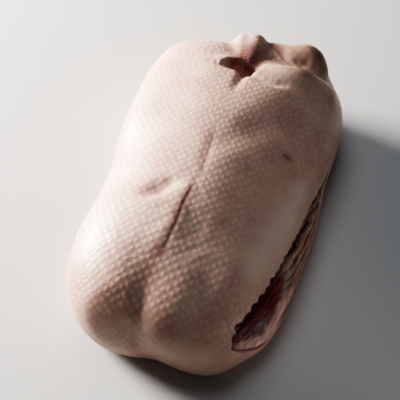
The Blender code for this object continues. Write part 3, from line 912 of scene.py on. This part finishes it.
def fold_edge(points, faces, normals, rim, hole, side, masks):
    """gives the skin its rounded cut edge and wall, down to a hidden floor under the meat"""
    _, into = nearest_on(cut_outline(side, True), points[rim, 1], points[rim, 2])
    n = normals[rim]
    c = np.stack([np.zeros(len(rim)), into[:, 0], into[:, 1]], -1)
    c = c - n * (n * c).sum(-1)[:, None]
    c = c / np.linalg.norm(c, axis=-1, keepdims=True)
    levels = [points[rim] + c * forward - n * down for forward, down in LIP_PROFILE]
    inner = np.zeros(len(points), bool)
    for f, h in zip(faces, hole):
        inner[f] |= h
    inner[rim] = False
    points[inner] -= normals[inner] * UNDER_DEPTH

    place = np.full(len(points), -1)          # of each point in the rim
    place[rim] = np.arange(len(rim))
    place = place.tolist()
    starts = [len(points) + k * len(rim) for k in range(len(LIP_PROFILE))]
    made = []
    cut_sides = set()
    for f, h in zip(faces, hole):
        on_rim = [place[v] >= 0 for v in f]
        made.append([starts[-1] + place[v] if h and r else v for v, r in zip(f, on_rim)])
        if h and sum(on_rim) > 1:
            cut_sides.update(zip(f, f[1:] + f[:1]))
    for f, h in zip(faces, hole):
        for a, b in zip(f, f[1:] + f[:1]):
            if not h and place[a] >= 0 and place[b] >= 0 and (b, a) in cut_sides:
                chain = [(a, b)] + [(s + place[a], s + place[b]) for s in starts]
                made += [[q, p, r, s] for (p, q), (r, s) in zip(chain, chain[1:])]
    # painted shade: the skin's wall under the upper edge of a cut is coloured dark as shade; under the
    # lower edge it shows pale fat
    upper = 1 - step(3, 9, below_edge(side, points[rim, 1], points[rim, 2]))
    wall = {"cut": upper, "cut_fat": 1 - upper}
    for name, values in masks.items():
        masks[name] = np.concatenate([values] + [wall.get(name, values[rim])] * len(LIP_PROFILE))
    return np.concatenate([points] + levels), made, masks


KEEL_LINE = ((150, -2), (112, -4), (66, -5), (44, -4), (18, -1), (-4, 1), (-18, -2), (-40, -3), (-66, -2),
             (-88, -3), (-106, -4))
KEEL_REACH = 40.0       # how far from the crease its distance is still told

# marks on the skin: an amount, then points and widths of a trail, or a centre and radii of a spot
TINTS = {
    "red": (
        # the vent and the tail above it
        (0.85, ((-46, 154, 108), (-33, 158, 105), (-22, 162, 101)), (3, 5, 7)),
        (0.4, ((-50, 150, 110), (-30, 147, 112), (-8, 144, 112)), (1.8, 1.8, 1.8)),
        (1.1, (-18, 164, 96), (6, 9, 10)),
        (1.1, (-3, 160, 94), (7, 8, 10)),
        (0.7, (-25, 162, 99), (6, 7, 8)),
        (0.3, ((-6, 164, 97), (-12, 174, 103), (-17, 188, 103)), (5, 5, 4)),
        (0.6, ((41, 194, 97), (51, 195, 96), (61, 194, 93)), (3, 4, 3)),
        # the breasts and the furrow between them
        (0.25, (-40, -150, 70), (40, 20, 30)),
        (0.2, (-78, -108, 60), (24, 40, 40)),
        (0.3, ((-3, -96, 112), (-6, -120, 100), (-9, -140, 82), (-6, -156, 56)), (7, 9, 9, 8)),
        (0.2, ((-2, -26, 119), (-3, -66, 118), (-4, -100, 111)), (4, 5, 7)),
        # bruises, and red that darkens the hollow of the dimple as painted shade
        (0.8, ((71, 63, 102), (76, 61, 100), (81, 62, 98)), (2.0, 2.8, 1.8)),
        (0.3, (-69, -4, 104), (5, 4, 6)),
        (0.35, (-30, -36, 116), (7, 5, 8)),
    ),
    "painted_shade": (
        # painted shade on the shaded side of the tail, in the vent, on both rolls, in the slits by the
        # right cut and in the dimple
        (0.95, ((0, 163, 97), (-1, 172, 102), (-4, 182, 104), (-6, 190, 104)), (10, 12, 11, 7)),
        (0.15, ((-50, 151, 111), (-40, 153, 108), (-28, 160, 103)), (2, 2.5, 3)),
        (0.8, (64, 213, 96), (6, 9, 9)),
        (0.45, (60, 174, 108), (10, 7, 8)),
        (0.7, ((69, -128, 97), (76, -136, 89), (83, -142, 79), (88, -142, 70)), (1.6,) * 4),
        (0.45, ((-43, -37, 114), (-34, -30, 115), (-26, -22, 117)), (7, 8, 6)),
    ),
    "tan_and_shade": (
        # tan skin on the right roll, its end and the back roll, and painted shade on the tail and in the
        # fold beside it
        (0.65, (46, 170, 108), (24, 12, 10)),
        (0.4, (-12, 184, 103), (13, 18, 14)),
        (0.5, (60, 172, 104), (16, 10, 14)),
        (0.95, ((20, 203, 100), (40, 206, 102), (58, 210, 98), (72, 200, 90)), (10, 14, 16, 14)),
        (0.8, ((6, 160, 100), (7, 180, 100), (9, 200, 98), (8, 214, 90)), (5, 7, 8, 8)),
    ),
    "pale_and_highlight": (
        # paler skin along the right wing cut, part fat tint and part painted light, and painted highlights
        # along the edges of the right roll
        (1.0, ((98, 44, 80), (95, 9, 86), (94, -20, 89), (91, -50, 94), (87, -79, 96)),
         (12, 17, 20, 20, 15)),
        (0.8, ((20, 148, 112), (34, 148, 112), (46, 153, 109)), (3, 4, 3)),
        (0.8, (76, 184, 90), (7, 7, 9)),
    ),
}
PIMPLE_ROWS = (-15, -10, -5)    # X of the rows of red pimples on the tail


def skin_tints(p):
    """masks for the marks on the skin, among them painted shade and painted highlights"""
    x, y, z = p.T
    line_y, line_x = np.array(KEEL_LINE, float).T
    keel = x - np.interp(y, line_y[::-1], line_x[::-1])
    keel = np.where((np.abs(keel) < KEEL_REACH) & (z > 60), keel, KEEL_REACH)
    bright = step(-112, -84, y) * (1 - step(-26, -10, y))
    faint = 0.55 * step(-10, 4, y) * (1 - step(40, 66, y))
    tints = {name: soft_marks(p, rows) for name, rows in TINTS.items()}
    for row in PIMPLE_ROWS:
        line = ((row + 3, 166, 98), (row, 176, 103), (row - 3, 190, 104))
        tints["red"] += 0.85 * (0.5 + 0.5 * np.sin(y * 1.4 + row)) * trail(p, line, (1.6, 1.6, 1.6))
    # a ragged stain above the left wing cut
    ragged = -inside(y, z, cut_outline(-1, True)) + 1.2 * np.sin(y / 2.3) + 0.9 * np.sin(y / 0.9)
    stained = (x < -CUT_INNER_X) & (y > -112) & (y < -20) & (below_edge(-1, y, z) < 3)
    tints["red"] += 0.9 * stained * (1 - step(3.0, 7.0, ragged))
    # painted shade on the flat where the neck came off
    tints["painted_shade"] += 0.35 * step(-148, -172, y)
    tints = {name: np.clip(v, 0, 1) for name, v in tints.items()}
    # the feather holes fade out by the right wing cut, at the neck end and on the rump, and are weaker
    # over the right half, their pale tips toned down there as painted shade
    holes_faded = step(54, 78, x) * (1 - step(20, 90, y)) * (0.25 + 0.5 * step(-120, -70, y))
    holes_faded += 0.5 * step(-148, -166, y) + 0.15 * (y > 150) * step(-50, -30, x)
    plucked = (1 - 0.45 * step(0, 50, x)) * step(3, 12, z) * (1 - np.clip(holes_faded, 0, 1))
    plucked *= (1 - tints["red"]) * (1 - 0.6 * tints["tan_and_shade"])
    return {"keel": keel, "keel_red": np.clip(bright + faint, 0, 1), "plucked": plucked, **tints}


skin_form = even_lines(SKIN_CELL)
skin_sheets = wrap(outer, skin_form)
across, length = skin_rows(skin_sheets)
(skin_points, across, length), skin_faces = weld(skin_sheets, skin_form, (across, length))
skin_normals, skin_edges = mesh_normals(skin_points, skin_faces)
cuts = {side: draw_cut(skin_points, skin_faces, skin_normals, skin_edges, side) for side in (1, -1)}
skin_normals, skin_edges = mesh_normals(skin_points, skin_faces)

row_a, row_b = hole_rows(across, length)
off = np.hypot(row_a - np.round(row_a), row_b - np.round(row_b)) * HOLE_SPACING
masks = skin_tints(skin_points)
plucked = masks["plucked"] * (np.abs(length) < FAR)
breast = step(-10, -70, skin_points[:, 1])
hole = np.exp(-(off / HOLE_RADIUS) ** 2) * plucked * (0.7 + 0.3 * breast)
skin_points = skin_points + skin_normals * (hole * HOLE_HEIGHT)[:, None]
bare = np.zeros(len(skin_points))
skin_masks = {**masks, "row_a": row_a, "row_b": row_b, "plucked": plucked, "cut": bare, "cut_fat": bare}
for side, (rim, opening) in cuts.items():
    hole = np.zeros(len(skin_faces), bool)
    hole[:len(opening)] = opening
    normals = np.zeros((len(skin_points), 3))
    normals[:len(skin_normals)] = skin_normals
    skin_points, skin_faces, skin_masks = fold_edge(skin_points, skin_faces, normals, rim, hole, side,
                                                    skin_masks)
skin = piece("skin_visual", skin_points, skin_faces, skin_masks)
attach(skin, "root")
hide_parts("skin")

CREAM = (0.65, 0.455, 0.355)
PINK = (0.54, 0.325, 0.270)
GROUND = (0.42, 0.195, 0.16)
HOLE_TIP = (0.80, 0.66, 0.55)
# painted shade on the skin's wall under the upper edge of a wing cut
CUT_SHADE = (0.13, 0.035, 0.035)
CUT_FAT = (0.70, 0.46, 0.40)
# pale fat tint, also used for painted highlights on the right roll
PALE_AND_HIGHLIGHT = (0.70, 0.59, 0.50)
# tan skin colour, also used as painted shade on the tail and in the fold beside it
TAN_AND_SHADE = (0.36, 0.20, 0.135)
CRIMSON = (0.23, 0.040, 0.052)
# painted shade, a dark brown for folds, hollows and shaded sides
PAINTED_SHADE = (0.17, 0.085, 0.070)
CREASE_RED = (0.20, 0.05, 0.06)


def feather_holes(tree):
    """distance from the nearest feather hole, as a share of the spacing, and its own tone"""
    place = shader_node(tree, "CombineXYZ", X=mask_of(tree, "row_a"), Y=mask_of(tree, "row_b")).outputs[0]
    middle = (HOLE_WANDER / 2, HOLE_WANDER / 2, 0)
    centred = shader_node(tree, "VectorMath", operation="ADD", **{"0": place, "1": middle}).outputs[0]
    cells = shader_node(tree, "TexVoronoi", voronoi_dimensions="2D", Scale=1.0, Randomness=HOLE_WANDER,
                        Vector=centred)
    return cells.outputs["Distance"], cells.outputs["Color"]


def fade(tree, value, start, end):
    """1 below start and 0 above end"""
    return shader_node(tree, "MapRange", interpolation_type="SMOOTHSTEP", From_Min=end, From_Max=start,
                       Value=value).outputs[0]


finish, tree, shader = new_material("plucked_skin")
marks = shader_node(tree, "Group", node_tree=MOTTLING).outputs
away, tone = feather_holes(tree)
tone = maths(tree, "ADD", 0.45, maths(tree, "MULTIPLY", tone, 0.7))
strength = maths(tree, "MULTIPLY", mask_of(tree, "plucked"), tone)
tip = maths(tree, "MULTIPLY", fade(tree, away, 0.10, 0.40), strength)
ground = maths(tree, "MULTIPLY", fade(tree, away, 0.60, 0.26), strength)
swelling = maths(tree, "MULTIPLY", fade(tree, away, 0.05, 0.48), strength)
crease = fade(tree, maths(tree, "ABSOLUTE", mask_of(tree, "keel")), 0.2, 2.8)
crease = maths(tree, "MULTIPLY", crease, mask_of(tree, "keel_red"))
flecked = maths(tree, "ADD", 0.7, maths(tree, "MULTIPLY", marks["Flecks"], 0.45))
flecked = maths(tree, "MULTIPLY", mask_of(tree, "red"), flecked)
colour = blend_colour(tree, marks["Blotches"], CREAM, PINK)
# the pale colour lays both fat tint and painted highlights
for share, amount, over in ((mask_of(tree, "pale_and_highlight"), 0.6, PALE_AND_HIGHLIGHT), (ground, 0.24, GROUND),
                            (tip, 0.5, HOLE_TIP), (mask_of(tree, "tan_and_shade"), 0.8, TAN_AND_SHADE)):
    colour = blend_colour(tree, maths(tree, "MULTIPLY", share, amount), colour, over)
for share, over in ((mask_of(tree, "painted_shade"), PAINTED_SHADE), (flecked, CRIMSON), (crease, CREASE_RED),
                    (mask_of(tree, "cut"), CUT_SHADE), (mask_of(tree, "cut_fat"), CUT_FAT)):
    colour = blend_colour(tree, share, colour, over)
grain = maths(tree, "MULTIPLY", marks["Grain"], 0.25)
height = maths(tree, "ADD", maths(tree, "MULTIPLY", swelling, 0.75), grain)
moist(tree, shader, colour, height, depth=0.0002, roughness=0.42)
shader.inputs["Subsurface Weight"].default_value = 0.12
shader.inputs["Subsurface Scale"].default_value = 0.004
shader.inputs["Subsurface Radius"].default_value = (1.0, 0.4, 0.25)
skin.data.materials.append(finish)

# ---------------------------------------------------------------------------------------
# The studio: a pale floor, a large soft light low on the bird's left, a weak one above, a
# small glow on the right wing cut, and a dim pale room. The camera has the photo's angle.
# ---------------------------------------------------------------------------------------
FLOOR_SIZE = 40.0
FLOOR_GREY = 0.66
ROOM_COLOUR = (0.92, 0.96, 1.0)
ROOM_STRENGTH = 0.016

edge = FLOOR_SIZE / 2
corners = [(-edge, -edge, 0), (edge, -edge, 0), (edge, edge, 0), (-edge, edge, 0)]
floor_mesh = bpy.data.meshes.new("floor")
floor_mesh.from_pydata(corners, [], [(0, 1, 2, 3)])
floor = bpy.data.objects.new("floor", floor_mesh)
bpy.context.scene.collection.objects.link(floor)
finish, tree, shader = new_material("pale_floor")
shader.inputs["Base Color"].default_value = (FLOOR_GREY, FLOOR_GREY, FLOOR_GREY, 1)
shader.inputs["Roughness"].default_value = 0.7
floor_mesh.materials.append(finish)

world = bpy.data.worlds.new("room")
world.use_nodes = True
room = world.node_tree.nodes["Background"].inputs
room["Color"].default_value = (*ROOM_COLOUR, 1)
room["Strength"].default_value = ROOM_STRENGTH
bpy.context.scene.world = world


def aimed(name, data, place, way):
    """puts a lamp or a camera at a place, facing against way"""
    made = bpy.data.objects.new(name, data)
    made.location = place
    made.rotation_mode = "QUATERNION"
    made.rotation_quaternion = way.to_track_quat("Z", "Y")
    bpy.context.scene.collection.objects.link(made)
    return made


LIT_POINT = Vector((0, 0, 0.06))       # in the middle of the bird


def soft_light(name, toward, distance, size, energy, colour):
    """a round soft light that faces the bird from the direction toward"""
    lamp = bpy.data.lights.new(name, "AREA")
    lamp.shape = "DISK"
    lamp.size = size
    lamp.energy = energy
    lamp.color = colour
    way = Vector(toward).normalized()
    aimed(name, lamp, way * distance + LIT_POINT, way)


soft_light("key", (-0.94, 0.18, 0.19), distance=1.7, size=0.7, energy=84.0, colour=(1.0, 0.94, 0.872))
soft_light("fill", (-0.15, 0.25, 0.95), distance=1.8, size=1.2, energy=3.9, colour=(0.90, 0.95, 1.0))

CUT_MIDDLE = Vector((0.118, -0.075, 0.045))
GLOW_PLACE = Vector((0.62, -0.32, 0.14))
lamp = bpy.data.lights.new("low", "SPOT")
lamp.energy = 1.4
lamp.color = (1.0, 0.93, 0.88)
lamp.shadow_soft_size = 0.08
lamp.spot_size = math.radians(36)
lamp.spot_blend = 1.0
aimed("low", lamp, GLOW_PLACE, GLOW_PLACE - CUT_MIDDLE)

view = bpy.context.scene.view_settings
view.view_transform = "AgX"
view.look = "AgX - High Contrast"
view.exposure = 0.9

AZIMUTH = math.radians(20)
ELEVATION = math.radians(55)
VIEW_DISTANCE = 1.5
PIXEL = 0.00105               # one pixel of the photograph at the bird, in metres
PHOTO_SIDE = 400
RAISED = 5                    # pixels by which the view's centre lies above the aim point
AIM_HEIGHT = 0.060
aim = Vector((*(SHIFT * MM)[:2], AIM_HEIGHT))
back_way = Vector((math.sin(AZIMUTH) * math.cos(ELEVATION), -math.cos(AZIMUTH) * math.cos(ELEVATION),
                   math.sin(ELEVATION)))
up_way = back_way.cross(Vector((math.cos(AZIMUTH), math.sin(AZIMUTH), 0)))
lens = bpy.data.cameras.new("camera")
lens.sensor_width = 36.0
lens.lens = lens.sensor_width * VIEW_DISTANCE / (PIXEL * PHOTO_SIDE)
lens.clip_end = 20.0
bpy.context.scene.camera = aimed("camera", lens, aim + up_way * RAISED * PIXEL + back_way * VIEW_DISTANCE,
                                 back_way)
